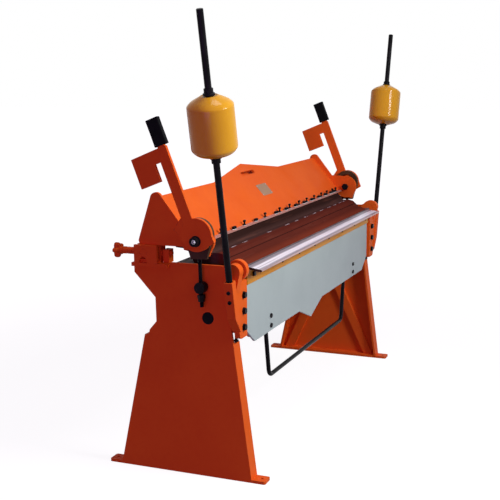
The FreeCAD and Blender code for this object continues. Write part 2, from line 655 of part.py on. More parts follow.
def make_lifting_handle():
    """Bent bar behind the panel that the leaf is lifted by."""
    y = -229 + value("leaf_frame + handle_radius") + 0.05
    radius = 35
    wide_top, wide_low = value(out(-305)), value(out(-365))
    high, low = value(up(-225)), value(up(-551))
    points = [FreeCAD.Vector(-wide_top, y, high), FreeCAD.Vector(-wide_low, y, low),
              FreeCAD.Vector(wide_low, y, low), FreeCAD.Vector(wide_top, y, high)]
    edges = []
    start = points[0]
    for corner, after in ((points[1], points[2]), (points[2], points[3])):
        before = (corner - start).normalize()
        onward = (after - corner).normalize()
        turn = before.getAngle(onward)
        cut = radius * math.tan(turn / 2)
        enter, leave = corner - before * cut, corner + onward * cut
        inward = (onward - before).normalize()
        middle = corner + inward * (radius / math.cos(turn / 2) - radius)
        edges += [Part.LineSegment(start, enter).toShape(), Part.Arc(enter, middle, leave).toShape()]
        start = leave
    edges.append(Part.LineSegment(start, points[3]).toShape())
    path = Part.Wire(edges)
    ring = Part.Wire(Part.Circle(points[0], points[1] - points[0], value("handle_radius")).toShape())
    handle = doc.addObject("Part::Feature", "lifting_handle")
    handle.Label = "lifting_handle"
    handle.Shape = path.makePipeShell([ring], True, True)
    NODES.append(handle)


def make_pins():
    """Plain pins, plugs and pivot bolts that come in pairs."""
    x_axis = FreeCAD.Vector(1, 0, 0)
    pins, plugs, pivots, lever_bolts = [], [], [], []
    for _, side in SIDES:
        outward = x_axis * side

        def at(x, y, z, side=side):
            return FreeCAD.Vector(side * value(x), value(y), value(z))

        near, far = value(f"{LEG_IN} - 14"), value(f"{out(114)} - face_gap")
        pins.append(rod_between(at(near, "hinge_y", HINGE_Z), outward, value("hinge_pin"), far - near))
        length = value("leg_plate") + 3
        plug = rod_between(at(f"{LEG_IN} - 3", -113, up(-199)), outward, value("plug_radius"), length)
        cap = rod_between(at(LEG_OUT, -113, up(-199)), outward, value("plug_radius") + 7, 4)
        plugs.append(plug.fuse(cap).removeSplitter())
        near, far = value(f"{END_NEAR} - 11") + 0.3, value(f"{END_FAR} + 14")
        pin_radius = value("carriage_pin")
        pivots.append(rod_between(at(near, "carriage_y", CARRIAGE_Z), outward, pin_radius, far - near))
        nut = hexagon(at(f"{END_NEAR} - 14 - face_gap", "lever_y", LEVER_Z), outward, 32, 14)
        washer = rod_between(at(f"{LEVER_FAR} + face_gap", "lever_y", LEVER_Z), outward, 22, 4)
        head = rod_between(at(f"{LEVER_FAR} + 4 + face_gap", "lever_y", LEVER_Z), outward, 18.5, 20)
        socket = hexagon(at(f"{LEVER_FAR} + 14 + face_gap", "lever_y", LEVER_Z), outward, 17, 10.1)
        near, far = value(f"{END_NEAR} - 10"), value(f"{LEVER_FAR} + 10")
        shank = rod_between(at(near, "lever_y", LEVER_Z), outward, value("lever_bolt"), far - near)
        lever_bolts.append(shank.fuse([nut, washer, head]).cut(socket).removeSplitter())
    group("hinge_pins", pins)
    group("leg_plugs", plugs)
    group("carriage_pins", pivots)
    group("lever_bolts", lever_bolts)


for name, side in SIDES:
    make_leg(name, side)
    make_pivot_block(name, side)
    make_adjusting_screw(name, side)
    make_end_plate(name, side)
    make_lever(name, side)
    make_link(name, side)
    make_end_block(name, side)
    make_counterweight(name, side)
make_bed()
make_beam()
make_fingers()
make_rod_fittings(make_leaf())
make_lifting_handle()
make_pins()

doc.recompute()
for item in doc.Objects:
    if "Invalid" in item.State or "Error" in item.State:
        raise RuntimeError(f"{item.Label} is {item.State}")
os.makedirs("parts", exist_ok=True)
for node in NODES:
    if node.Shape.isNull() or not node.Shape.isValid():
        raise RuntimeError(f"{node.Label} has no valid shape")
    node.Shape.exportStep(os.path.join("parts", node.Label + ".step"))
print(len(NODES), "nodes")
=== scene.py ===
import itertools
import json
import math
import random

import bmesh
import bpy
from mathutils import Matrix, Vector


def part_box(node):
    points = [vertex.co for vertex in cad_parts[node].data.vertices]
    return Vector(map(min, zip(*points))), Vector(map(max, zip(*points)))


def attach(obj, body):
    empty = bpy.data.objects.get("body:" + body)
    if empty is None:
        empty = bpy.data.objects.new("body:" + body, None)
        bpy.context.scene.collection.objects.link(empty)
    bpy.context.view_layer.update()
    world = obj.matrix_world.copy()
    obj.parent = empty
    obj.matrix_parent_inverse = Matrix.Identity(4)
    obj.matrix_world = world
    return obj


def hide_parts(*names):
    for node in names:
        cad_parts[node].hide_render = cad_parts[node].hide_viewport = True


# box and pan brake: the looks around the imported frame

# places are in metres, while the rings that pieces are skinned over are in millimetres
MM = 0.001
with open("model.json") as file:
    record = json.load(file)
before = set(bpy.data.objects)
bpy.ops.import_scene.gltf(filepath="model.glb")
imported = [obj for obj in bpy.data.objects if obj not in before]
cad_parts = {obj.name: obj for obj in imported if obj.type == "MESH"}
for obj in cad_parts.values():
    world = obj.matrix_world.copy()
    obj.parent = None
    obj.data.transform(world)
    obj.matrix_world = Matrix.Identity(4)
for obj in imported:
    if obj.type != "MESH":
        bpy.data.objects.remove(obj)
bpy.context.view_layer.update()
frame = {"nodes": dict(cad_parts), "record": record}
NODES = frame["nodes"]
SLOT_OF = {row["node"]: row["material_slot"] for row in frame["record"]["subparts"]}
PIVOTS = {joint["name"]: joint.get("pos_m") for joint in frame["record"]["behaviour"]["joints"]}
SIDES = (("left", -1), ("right", 1))
X, Y, Z = Vector((1, 0, 0)), Vector((0, 1, 0)), Vector((0, 0, 1))


# places and slopes that the part's source sets, on the right side where they are off the middle

LEVER_LEAN = math.radians(21.2)
ROD_START = (1.059, -0.242, 0.831)
ROD_SPLAY = math.radians(14.2)
ROD_FORWARD = math.radians(0.6)
ROD_RADIUS = 12.5
WEIGHT_LOW, WEIGHT_HIGH = 498, 722
LINK_RUN, LINK_RISE = 7, 210
WEB_X = 0.965
END_PLATE_X = 0.9718
FRONT_FOOT = Vector((0, -0.049, 0.951))
FRONT_LEAN = math.radians(41.6)
FRONT_UP = Vector((0, math.sin(FRONT_LEAN), math.cos(FRONT_LEAN)))

# of the leaf's fasteners, only the screws that grip the rods are farther out than this
GRIP_SCREWS_X = 1.0


# camera, lights and floor

CAMERA_PLACE = Vector((-4.4249, -1.6984, 1.5996))
CAMERA_YAW = math.radians(67.838)
CAMERA_PITCH = math.radians(-10.0135)
CAMERA_ROLL = math.radians(-0.457)
CAMERA_LENS = 71.36
AMBIENT = (0.19, 0.085, 0.22)
WHITE = (1, 1, 1)
FLOOR_HALF = 40
FLOOR_GREY = (0.2, 0.2, 0.2, 1)
GLOW_NEAR, GLOW_FAR = 1.5, 4.0
GLOW_LEAST = 0.91


def add_to_scene(thing):
    bpy.context.scene.collection.objects.link(thing)


def make_camera():
    """The camera at the photograph's place, turned from +Y towards +X by its yaw."""
    flat = math.cos(CAMERA_PITCH)
    ahead = Vector((math.sin(CAMERA_YAW) * flat, math.cos(CAMERA_YAW) * flat,
                    math.sin(CAMERA_PITCH)))
    level = Vector((math.cos(CAMERA_YAW), -math.sin(CAMERA_YAW), 0))
    upright = level.cross(ahead)
    right = level * math.cos(CAMERA_ROLL) + upright * math.sin(CAMERA_ROLL)
    top = upright * math.cos(CAMERA_ROLL) - level * math.sin(CAMERA_ROLL)
    data = bpy.data.cameras.new("camera")
    data.lens = CAMERA_LENS
    data.clip_end = 200
    camera = bpy.data.objects.new("camera", data)
    add_to_scene(camera)
    turn = Matrix((right, top, -ahead)).transposed().to_4x4()
    camera.matrix_world = Matrix.Translation(CAMERA_PLACE) @ turn
    bpy.context.scene.camera = camera


def make_lamp(name, place, target, size, power, colour=WHITE, spread=180):
    """A soft square lamp that points at a target."""
    data = bpy.data.lights.new(name, "AREA")
    data.shape = "SQUARE"
    data.size = size
    data.energy = power
    data.color = colour
    data.spread = math.radians(spread)
    lamp = bpy.data.objects.new(name, data)
    add_to_scene(lamp)
    lamp.location = place
    lamp.rotation_mode = "QUATERNION"
    lamp.rotation_quaternion = (Vector(target) - Vector(place)).to_track_quat("-Z", "Y")


def add_node(tree, kind, operation=None):
    """A new shader node, with its operation where it has several."""
    node = tree.nodes.new(kind)
    if operation:
        node.operation = operation
    return node


def joined(tree, kind, operation, *sources):
    """The output of a new node that is fed by the given outputs in turn."""
    node = add_node(tree, kind, operation)
    for socket, source in zip(node.inputs, sources):
        tree.links.new(source, socket)
    return node.outputs[0]


def larger(tree, first, second):
    return joined(tree, "ShaderNodeMath", "MAXIMUM", first, second)


def make_world():
    """White to camera, glossy and transmission rays, and a dim even light to everything else."""
    world = bpy.data.worlds.new("studio")
    bpy.context.scene.world = world
    world.use_nodes = True
    tree = world.node_tree
    tree.nodes.clear()
    path = add_node(tree, "ShaderNodeLightPath").outputs
    shiny = larger(tree, path["Is Glossy Ray"], path["Is Transmission Ray"])
    backgrounds = []
    for colour in (AMBIENT, WHITE):
        background = add_node(tree, "ShaderNodeBackground")
        background.inputs["Color"].default_value = (*colour, 1)
        backgrounds.append(background.outputs[0])
    seen = larger(tree, path["Is Camera Ray"], shiny)
    mixed = joined(tree, "ShaderNodeMixShader", None, seen, *backgrounds)
    tree.links.new(mixed, add_node(tree, "ShaderNodeOutputWorld").inputs["Surface"])


def make_floor():
    """A wide pale floor that looks white to the camera and keeps the shadow."""
    quarters = ((-1, -1), (1, -1), (1, 1), (-1, 1))
    corners = [(x * FLOOR_HALF, y * FLOOR_HALF, 0) for x, y in quarters]
    mesh = bpy.data.meshes.new("floor")
    mesh.from_pydata(corners, [], [(0, 1, 2, 3)])
    floor = bpy.data.objects.new("floor", mesh)
    add_to_scene(floor)
    material = bpy.data.materials.new("pale_floor")
    material.use_nodes = True
    tree = material.node_tree
    tree.nodes.clear()
    diffuse = add_node(tree, "ShaderNodeBsdfDiffuse")
    diffuse.inputs["Color"].default_value = FLOOR_GREY
    place = add_node(tree, "ShaderNodeTexCoord").outputs["Object"]
    reach = add_node(tree, "ShaderNodeVectorMath", "LENGTH")
    tree.links.new(place, reach.inputs[0])
    fade = add_node(tree, "ShaderNodeMapRange")
    for socket, value in (("From Min", GLOW_NEAR), ("From Max", GLOW_FAR), ("To Min", GLOW_LEAST)):
        fade.inputs[socket].default_value = value
    tree.links.new(reach.outputs["Value"], fade.inputs["Value"])
    path = add_node(tree, "ShaderNodeLightPath").outputs
    seen = larger(tree, path["Is Camera Ray"], path["Is Glossy Ray"])
    glow = add_node(tree, "ShaderNodeEmission")
    strength = joined(tree, "ShaderNodeMath", "MULTIPLY", seen, fade.outputs[0])
    tree.links.new(strength, glow.inputs["Strength"])
    lit = joined(tree, "ShaderNodeAddShader", None, diffuse.outputs[0], glow.outputs[0])
    tree.links.new(lit, add_node(tree, "ShaderNodeOutputMaterial").inputs["Surface"])
    mesh.materials.append(material)


bpy.context.scene.view_settings.view_transform = "Standard"
make_camera()
make_floor()
make_world()
make_lamp("key", place=(-0.9, -3.6, 2.9), target=(-1.2, 0, 0.9), size=1.1, power=77, spread=140)
make_lamp("fill", place=(-4.2, -0.5, 0.5), target=(-1.0, 0, 0.5), size=1.8, power=17,
          colour=(1, 0.26, 1.55))
make_lamp("top", place=(-0.8, -0.7, 4.6), target=(-0.4, 0, 0.8), size=1.2, power=32)


# materials

def linear(value):
    """One channel from 0 to 255, as the linear value that a shader takes."""
    share = value / 255
    return share / 12.92 if value <= 10 else ((share + 0.055) / 1.055) ** 2.4


def srgb(red, green, blue):
    """A colour read off as 0 to 255, as linear values."""
    return tuple(linear(value) for value in (red, green, blue))


MATERIALS = {}
SHADER_SOCKETS = {"metallic": "Metallic", "specular": "Specular IOR Level", "ior": "IOR",
                  "coat": "Coat Weight", "coat_roughness": "Coat Roughness"}


class Finish:
    """A procedural material: its colour, roughness and bump are built up from noises."""

    def __init__(self, name, colour, roughness, **settings):
        self.material = bpy.data.materials.new(name)
        MATERIALS[name] = self.material
        self.material.use_nodes = True
        self.tree = self.material.node_tree
        self.shader = self.tree.nodes["Principled BSDF"]
        for socket, value in settings.items():
            self.shader.inputs[SHADER_SOCKETS[socket]].default_value = value
        self.where = self.add("ShaderNodeTexCoord").outputs["Object"]
        self.colour = colour
        self.roughness = roughness
        self.height = None

    def add(self, kind, operation=None):
        return add_node(self.tree, kind, operation)

    def feed(self, socket, item):
        """Links a socket to an output, or sets it to a colour or a number."""
        if isinstance(item, bpy.types.NodeSocket):
            self.tree.links.new(item, socket)
        elif isinstance(item, tuple):
            socket.default_value = (*item, 1)
        else:
            socket.default_value = item

    def math(self, operation, first, second, third=0.0, clamp=False):
        """A sum, product or comparison of outputs and numbers."""
        node = self.add("ShaderNodeMath", operation)
        node.use_clamp = clamp
        for socket, item in zip(node.inputs, (first, second, third)):
            self.feed(socket, item)
        return node.outputs[0]

    def place(self):
        """The three coordinates of a point, by letter."""
        node = self.add("ShaderNodeSeparateXYZ")
        self.tree.links.new(self.where, node.inputs[0])
        return node.outputs

    def noise(self, scale, detail, stretch=(1, 1, 1), low=0.35, high=0.65, to_low=0.0, to_high=1.0):
        """A noise of so many cells a metre, spread between two values."""
        mapping = self.add("ShaderNodeMapping")
        mapping.inputs["Scale"].default_value = stretch
        self.tree.links.new(self.where, mapping.inputs["Vector"])
        node = self.add("ShaderNodeTexNoise")
        node.inputs["Scale"].default_value = scale
        node.inputs["Detail"].default_value = detail
        self.tree.links.new(mapping.outputs[0], node.inputs["Vector"])
        return self.spread(node.outputs["Fac"], low, high, to_low, to_high)

    def spread(self, source, low, high, to_low=0.0, to_high=1.0):
        """Maps one range of a value to another, and stays at the ends beyond it."""
        node = self.add("ShaderNodeMapRange")
        self.feed(node.inputs["Value"], source)
        limits = (("From Min", low), ("From Max", high), ("To Min", to_low), ("To Max", to_high))
        for key, value in limits:
            node.inputs[key].default_value = value
        return node.outputs[0]

    def edges(self, radius):
        """How near a point is to an edge, within a radius in millimetres: 0 on a flat face, 1 on it."""
        bevel = self.add("ShaderNodeBevel")
        bevel.samples = 4
        bevel.inputs["Radius"].default_value = radius * MM
        dot = self.add("ShaderNodeVectorMath", "DOT_PRODUCT")
        self.tree.links.new(bevel.outputs[0], dot.inputs[0])
        normal = self.add("ShaderNodeNewGeometry").outputs["Normal"]
        self.tree.links.new(normal, dot.inputs[1])
        return self.spread(self.math("SUBTRACT", 1.0, dot.outputs["Value"]), 0.02, 0.2)

    def worn_edges(self, radius, noise):
        """Edges that a noise breaks up."""
        return self.math("MULTIPLY", self.edges(radius), noise, clamp=True)

    def stain(self, share, colour):
        """Lets another colour through by a share."""
        node = self.add("ShaderNodeMix")
        node.data_type = "RGBA"
        first_colour, second_colour, mixed_colour = node.inputs[6], node.inputs[7], node.outputs[2]
        self.feed(node.inputs["Factor"], share)
        self.feed(first_colour, self.colour)
        self.feed(second_colour, colour)
        self.colour = mixed_colour

    def band(self, source, start, end, colour, share=1.0):
        """Turns to a colour between two places and stays with it beyond the second."""
        self.stain(self.spread(source, start, end, to_high=share), colour)

    def dull(self, share, roughness):
        """Moves the roughness towards a value by a share."""
        kept = self.math("MULTIPLY", self.roughness, self.math("SUBTRACT", 1.0, share))
        moved = self.math("MULTIPLY", share, roughness)
        self.roughness = self.math("ADD", kept, moved, clamp=True)

    def bump(self, height, distance, strength):
        """Raises the surface by a noise, over a distance in millimetres."""
        node = self.add("ShaderNodeBump")
        node.inputs["Strength"].default_value = strength
        node.inputs["Distance"].default_value = distance * MM
        self.tree.links.new(height, node.inputs["Height"])
        if self.height is not None:
            self.tree.links.new(self.height, node.inputs["Normal"])
        self.height = node.outputs["Normal"]

    def done(self):
        """Links the results to the shader."""
        results = (("Base Color", self.colour), ("Roughness", self.roughness),
                   ("Normal", self.height))
        for socket, item in results:
            self.tree.links.new(item, self.shader.inputs[socket])


def enamel(name, colour, deep, chip, roughness=0.36, coat=0.0, specular=0.25, ior=1.2):
    """Sprayed enamel: soft shade changes, orange peel, rubbed patches and small edge chips."""
    finish = Finish(name, colour, roughness, specular=specular, ior=ior, coat=coat,
                    coat_roughness=0.12)
    clouds = finish.noise(3.0, 4, to_high=0.5)
    finish.stain(clouds, deep)
    mottle = finish.noise(38.0, 5, low=0.5, high=0.8, to_high=0.25)
    finish.stain(mottle, deep)
    worn = finish.worn_edges(2.2, finish.noise(55.0, 5, low=0.5, high=0.62))
    finish.stain(worn, chip)
    rubbed = finish.noise(9.0, 5, low=0.45, high=0.75, to_high=0.6)
    finish.dull(rubbed, roughness + 0.22)
    finish.dull(worn, 0.6)
    peel = finish.noise(420.0, 2, low=0, high=1)
    finish.bump(peel, 0.25, 0.5)
    waves = finish.noise(14.0, 3, low=0, high=1)
    finish.bump(waves, 0.6, 0.3)
    finish.done()


def steel(name, colour, light, roughness, metallic=1.0, specular=0.5, ior=1.5):
    """Bare or blackened steel: cloudy tone, uneven gloss and paler rubbed edges."""
    finish = Finish(name, colour, roughness, metallic=metallic, specular=specular, ior=ior)
    clouds = finish.noise(12.0, 5, to_high=0.5)
    finish.stain(clouds, light)
    finish.stain(finish.worn_edges(0.8, finish.noise(90.0, 4)), light)
    finish.dull(finish.noise(160.0, 4, to_high=0.7), roughness + 0.2)
    grain = finish.noise(500.0, 3, low=0, high=1)
    finish.bump(grain, 0.08, 0.6)
    finish.done()


def grip_rubber():
    """Black moulded rubber, paler where an edge is rubbed."""
    finish = Finish("black_grip", srgb(11, 12, 14), 0.5, specular=0.5, ior=1.1)
    clouds = finish.noise(30.0, 4, to_high=0.6)
    finish.stain(clouds, srgb(24, 24, 26))
    finish.stain(finish.math("MULTIPLY", finish.edges(1.5), 0.4), srgb(54, 52, 52))
    finish.dull(finish.noise(60.0, 4, to_high=0.6), 0.75)
    grain = finish.noise(900.0, 2, low=0, high=1)
    finish.bump(grain, 0.15, 0.6)
    finish.done()


# where along X each finger's painted ridge highlight stands
FINGER_MARKS_X = (-0.737, -0.617, -0.333, -0.098, 0.039, 0.174, 0.311, 0.425, 0.551, 0.649, 0.754,
                  0.817)
FINGER_MARK_HALF = 0.026
FINGER_RIDGE_Y, FINGER_RIDGE_HALF = -0.125, 0.0036
FINGER_LINE_Y, FINGER_LINE_HALF = -0.1695, 0.0011

# colours across the fingers, painted light: the dark upper part, partly the coating's own brown and
# partly painted shade, turns lighter towards the ridge and redder towards the toe as a painted
# reflection of the orange front; the Y where each starts, the Y where it is full, and the colour
FINGER_SHADE_AND_REFLECTION_BANDS = (
    (-0.082, -0.102, srgb(84, 60, 54)),
    (-0.118, -0.134, srgb(104, 46, 34)),
    (-0.185, -0.215, srgb(132, 60, 40)))


def finger_coating():
    """Dark brown coating with painted light: painted shade on the upper part, lighter at the ridge and
    redder towards the toe as a painted reflection, painted highlight streaks and marks, a thin dark
    line, and rubbed edges.
    """
    finish = Finish("brown_fingers", srgb(50, 33, 28), 0.4, specular=0.0, ior=1.01)
    place = finish.place()
    # painted shade and painted reflection in bands across the fingers
    for start, full, colour in FINGER_SHADE_AND_REFLECTION_BANDS:
        finish.band(place["Y"], start, full, colour)
    clouds = finish.noise(2.5, 4, (0.4, 1, 1), to_high=0.35)
    finish.stain(clouds, srgb(46, 28, 24))
    # painted highlight: pale streaks along the fingers
    highlight_streaks = finish.noise(60.0, 4, (0.06, 1, 1), low=0.58, high=0.78, to_high=0.3)
    finish.stain(highlight_streaks, srgb(124, 78, 62))
    line = finish.math("COMPARE", place["Y"], FINGER_LINE_Y, FINGER_LINE_HALF)
    finish.stain(line, srgb(34, 20, 18))
    # painted highlight: bright marks on the fingers' ridge
    finish.stain(ridge_highlights(finish, place), srgb(206, 198, 196))
    finish.stain(finish.worn_edges(1.0, finish.noise(70.0, 5)), srgb(120, 84, 72))
    dull_patches = finish.noise(24.0, 5, (0.2, 1, 1), low=0.5, high=0.75, to_high=0.7)
    finish.dull(dull_patches, 0.5)
    grain = finish.noise(120.0, 3, (0.1, 1, 1), low=0, high=1)
    finish.bump(grain, 0.05, 0.4)
    finish.done()


def ridge_highlights(finish, place):
    """A short painted highlight on the ridge of each finger, broken up by a noise."""
    marks = 0.0
    for x in FINGER_MARKS_X:
        mark = finish.math("COMPARE", place["X"], x, FINGER_MARK_HALF)
        marks = finish.math("ADD", marks, mark, clamp=True)
    ridge = finish.math("COMPARE", place["Y"], FINGER_RIDGE_Y, FINGER_RIDGE_HALF)
    marks = finish.math("MULTIPLY", marks, ridge)
    broken = finish.noise(130.0, 3, (0.4, 1, 1), low=0.4, high=0.55)
    return finish.math("MULTIPLY", marks, broken, clamp=True)


NOSE_END_X, NOSE_END_HALF = 0.889, 0.0006

# painted reflection across the nose bar, with the share that shows: grey and violet painted reflection
# bands that drift along it, a pink line along the front edge and a dark line along the rear edge
NOSE_DRIFTING_REFLECTIONS = (
    (-0.268, -0.260, srgb(128, 124, 132), 0.9),
    (-0.288, -0.296, srgb(138, 132, 142), 0.85))
NOSE_STRAIGHT = (
    (-0.301, -0.305, srgb(200, 172, 164), 0.8),
    (-0.2462, -0.2440, srgb(46, 40, 46), 0.9))


def bright_steel_painted_reflections():
    """Ground bright steel with painted reflections: a pale painted highlight down the middle between
    grey and violet painted reflection bands, thin dark painted shade at the ends, and fine lines along
    the bar.
    """
    finish = Finish("bright_nose", srgb(246, 247, 252), 0.3, metallic=0.4, specular=0.2, ior=1.1)
    place = finish.place()
    drift = finish.noise(3.0, 3, (0.5, 0, 0), low=0.3, high=0.7, to_low=-0.005, to_high=0.005)
    drifting = finish.math("ADD", place["Y"], drift)
    for band in NOSE_DRIFTING_REFLECTIONS:
        finish.band(drifting, *band)
    for band in NOSE_STRAIGHT:
        finish.band(place["Y"], *band)
    lines = finish.noise(150.0, 3, (0.012, 1, 1), low=0.5, high=0.66, to_high=0.55)
    finish.stain(lines, srgb(120, 112, 128))
    # painted shade: a thin dark line at each end of the bar
    from_middle = finish.math("ABSOLUTE", place["X"], 0.0)
    ends = finish.math("COMPARE", from_middle, NOSE_END_X, NOSE_END_HALF)
    finish.stain(ends, srgb(70, 62, 48))
    finish.dull(finish.noise(90.0, 4, (0.04, 1, 1), to_high=0.6), 0.48)
    grain = finish.noise(300.0, 3, (0.015, 1, 1), low=0, high=1)
    finish.bump(grain, 0.03, 0.4)
    finish.done()


enamel("orange_paint", srgb(237, 106, 35), srgb(224, 88, 31), srgb(120, 70, 55), specular=0.5,
       ior=1.07)
enamel("yellow_paint", srgb(228, 170, 32), srgb(214, 154, 28), srgb(120, 90, 60), roughness=0.2,
       coat=0.25, specular=0.5, ior=1.12)
enamel("ochre_bar", srgb(214, 146, 36), srgb(190, 122, 34), srgb(110, 80, 50))
enamel("grey_panel", srgb(180, 198, 192), srgb(170, 187, 182), srgb(110, 108, 104), roughness=0.4)
enamel("pink_ledge", srgb(196, 142, 128), srgb(168, 116, 102), srgb(120, 110, 108))
enamel("bare_label", srgb(172, 144, 114), srgb(150, 126, 100), srgb(120, 100, 80), roughness=0.45,
       specular=0.5, ior=1.08)
steel("black_steel", srgb(11, 11, 13), srgb(36, 35, 38), 0.22, metallic=0.0, ior=1.12)
steel("brown_strap", srgb(64, 50, 34), srgb(98, 76, 50), 0.45, metallic=0.0, specular=0.4, ior=1.15)
steel("bare_plate", srgb(96, 90, 92), srgb(140, 134, 136), 0.4, metallic=0.3, specular=0.2, ior=1.1)
steel("zinc", srgb(200, 200, 204), srgb(226, 226, 228), 0.28)
grip_rubber()
finger_coating()
bright_steel_painted_reflections()

for node, piece in NODES.items():
    for slot in piece.material_slots:
        slot.material = MATERIALS["bare_plate" if node == "bed_plate" else SLOT_OF[node]]


# rounding of the plates' edges

def soften(node, width):
    """Rounds a node's sharp edges a little, as ground and painted edges are."""
    piece = NODES[node]
    weld = piece.modifiers.new("weld", "WELD")
    weld.merge_threshold = 0.01 * MM
    planar = piece.modifiers.new("planar", "DECIMATE")
    planar.decimate_type = "DISSOLVE"
    planar.angle_limit = math.radians(0.5)
    bevel = piece.modifiers.new("bevel", "BEVEL")
    bevel.width = width * MM
    bevel.segments = 2
    bevel.limit_method = "ANGLE"
    bevel.angle_limit = math.radians(35)
    bevel.use_clamp_overlap = True


# shapes: a piece is skinned over rings, so its edges can be rounded as if turned or pressed

AXIS_RADIUS = 0.02


def turns(count):
    """So many directions around a circle."""
    return [n * math.tau / count for n in range(count)]


def polar(reach, turn, height):
    return Vector((reach * math.cos(turn), reach * math.sin(turn), height))


def circle(radius, height, count=48):
    """A ring of points about Z."""
    return [polar(radius, turn, height) for turn in turns(count)]


def hex_ring(flat, height, chamfer=0.0):
    """A six-sided ring whose corners are cut back by a cone, as on a bolt's head."""
    ring = []
    for turn in turns(48):
        reach = flat / math.cos((turn % (math.pi / 3)) - math.pi / 6)
        ring.append(polar(reach, turn, height - (reach - flat) * chamfer))
    return ring


def rounded_profile(points, radii, steps=5):
    """A line of radius and height points with its corners rounded."""
    smooth = [Vector(points[0])]
    for n in range(1, len(points) - 1):
        corner, radius = Vector(points[n]), radii[n]
        before = Vector(points[n - 1]) - corner
        after = Vector(points[n + 1]) - corner
        opening = before.angle(after)
        if radius == 0 or opening > math.radians(178):
            smooth.append(corner)
            continue
        cut = min(radius / math.tan(opening / 2), before.length * 0.49, after.length * 0.49)
        radius = cut * math.tan(opening / 2)
        halfway = (before.normalized() + after.normalized()).normalized()
        middle = corner + halfway * (radius / math.sin(opening / 2))
        start = corner + before.normalized() * cut - middle
        end = corner + after.normalized() * cut - middle
        for step in range(steps + 1):
            smooth.append(middle + start.slerp(end, step / steps).normalized() * radius)
    smooth.append(Vector(points[-1]))
    return smooth


def lathe(points, radii=None, count=48):
    """Rings for a turned piece, from its radius and height points and its corners' radii."""
    profile = rounded_profile(points, radii) if radii else points
    return [circle(max(radius, AXIS_RADIUS), height, count) for radius, height in profile]


def pin_rings(radius, length):
    return lathe([(0, 0), (radius, 0), (radius, length), (0, length)])


def skin(bm, rings, place, loop=False):
    """Skins rings of equal count into a bmesh at a place, and closes the two ends."""
    grid = [[bm.verts.new(place @ (point * MM)) for point in ring] for ring in rings]
    count = len(grid[0])
    pairs = list(zip(grid, grid[1:]))
    if loop:
        pairs.append((grid[-1], grid[0]))
    for low, high in pairs:
        for n in range(count):
            bm.faces.new((low[n], low[(n + 1) % count], high[(n + 1) % count], high[n]))
    if not loop:
        bm.faces.new(list(reversed(grid[0])))
        bm.faces.new(grid[-1])


def facing(point, direction):
    """The place of a piece whose Z runs along a direction from a point."""
    turn = Vector(direction).to_track_quat("Z", "Y").to_matrix().to_4x4()
    return Matrix.Translation(Vector(point)) @ turn


def raised(place, height):
    """A place moved along its own Z by so many millimetres."""
    return place @ Matrix.Translation(Z * height * MM)


SHARP_TURN = math.radians(57)


def round_edges(bm, width):
    """Rounds the edges where the surface turns sharply."""
    edges = [edge for edge in bm.edges if edge.calc_face_angle(0) > SHARP_TURN]
    bmesh.ops.bevel(bm, geom=edges, offset=width * MM, segments=2, affect="EDGES")


def make_piece(name, bm, material, body, slot, *nodes, sharp=32):
    """Turns a bmesh into a finished piece that rides on a body and may stand for CAD nodes."""
    bmesh.ops.recalc_face_normals(bm, faces=bm.faces)
    mesh = bpy.data.meshes.new(name)
    bm.to_mesh(mesh)
    bm.free()
    mesh.polygons.foreach_set("use_smooth", [True] * len(mesh.polygons))
    mesh.set_sharp_from_angle(angle=math.radians(sharp))
    mesh.materials.append(MATERIALS[material])
    piece = bpy.data.objects.new(name, mesh)
    add_to_scene(piece)
    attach(piece, body)
    if nodes:
        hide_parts(*nodes)
    return piece


WELD_CELLS = 50000


def solids_of(node):
    """The lowest and highest corners of a node's separate solids, from left to right."""
    mesh = NODES[node].data
    owner = list(range(len(mesh.vertices)))

    def root(n):
        while owner[n] != n:
            owner[n] = owner[owner[n]]
            n = owner[n]
        return n

    seen = {}
    for vertex in mesh.vertices:
        key = tuple(round(c * WELD_CELLS) for c in vertex.co)
        owner[root(vertex.index)] = root(seen.setdefault(key, vertex.index))
    for edge in mesh.edges:
        owner[root(edge.vertices[0])] = root(edge.vertices[1])
    groups = {}
    for vertex in mesh.vertices:
        groups.setdefault(root(vertex.index), []).append(vertex.co)
    boxes = [[Vector([limit(p[k] for p in group) for k in range(3)]) for limit in (min, max)]
             for group in groups.values()]
    return sorted(boxes, key=lambda box: box[0].x)


# fasteners

def cap_screw_rings(radius, height, key):
    """A socket head: rounded rim, six-sided socket with a cone at its bottom."""
    rim = min(radius, height) * 0.16
    foot, mouth = rim * 0.4, key * 1.22
    floor, drill_tip = height * 0.4, height * 0.25
    head = lathe([(radius - foot, 0), (radius, foot), (radius, height), (mouth, height)],
                 [0, 0, rim, 0])
    return head + [hex_ring(key, height - 0.12 * key), hex_ring(key, floor),
                   circle(0.03, drill_tip)]


def hex_head_rings(flat, height):
    """A hexagon head with a washer face and chamfered corners."""
    face, face_thick = flat * 0.96, height * 0.06
    return [circle(face, 0), circle(face, face_thick), hex_ring(flat, height * 0.07),
            hex_ring(flat, height, chamfer=0.58), circle(flat * 0.93, height),
            circle(flat * 0.9, height)]


def washer_rings(inner, outer, thick):
    edge = thick * 0.3
    return lathe([(inner, 0), (outer - edge, 0), (outer, edge), (outer, thick - edge),
                  (outer - edge, thick), (inner + edge, thick), (inner, thick - edge)])


def thread_rings(radius, pitch, length, depth=None, count=40):
    """Rings of a screw thread: the wave of each ring is turned a little further than the last."""
    depth = depth or pitch * 0.5
    per_turn, run_in = 8, 6
    rings = []
    for row in range(int(length / pitch * per_turn) + 1):
        height = row * pitch / per_turn
        ease = min(1.0, row / run_in, (length - height) / pitch)
        ring = []
        for n, turn in enumerate(turns(count)):
            phase = (height / pitch - n / count) % 1.0
            wave = abs(phase * 2 - 1)
            reach = radius - depth * ease * (1 - wave) - depth * 0.5 * (1 - ease)
            ring.append(polar(reach, turn, height))
        rings.append(ring)
    return rings


def seat_of(low, high):
    """The middle of a box's underside."""
    return Vector(((low.x + high.x) / 2, (low.y + high.y) / 2, low.z))


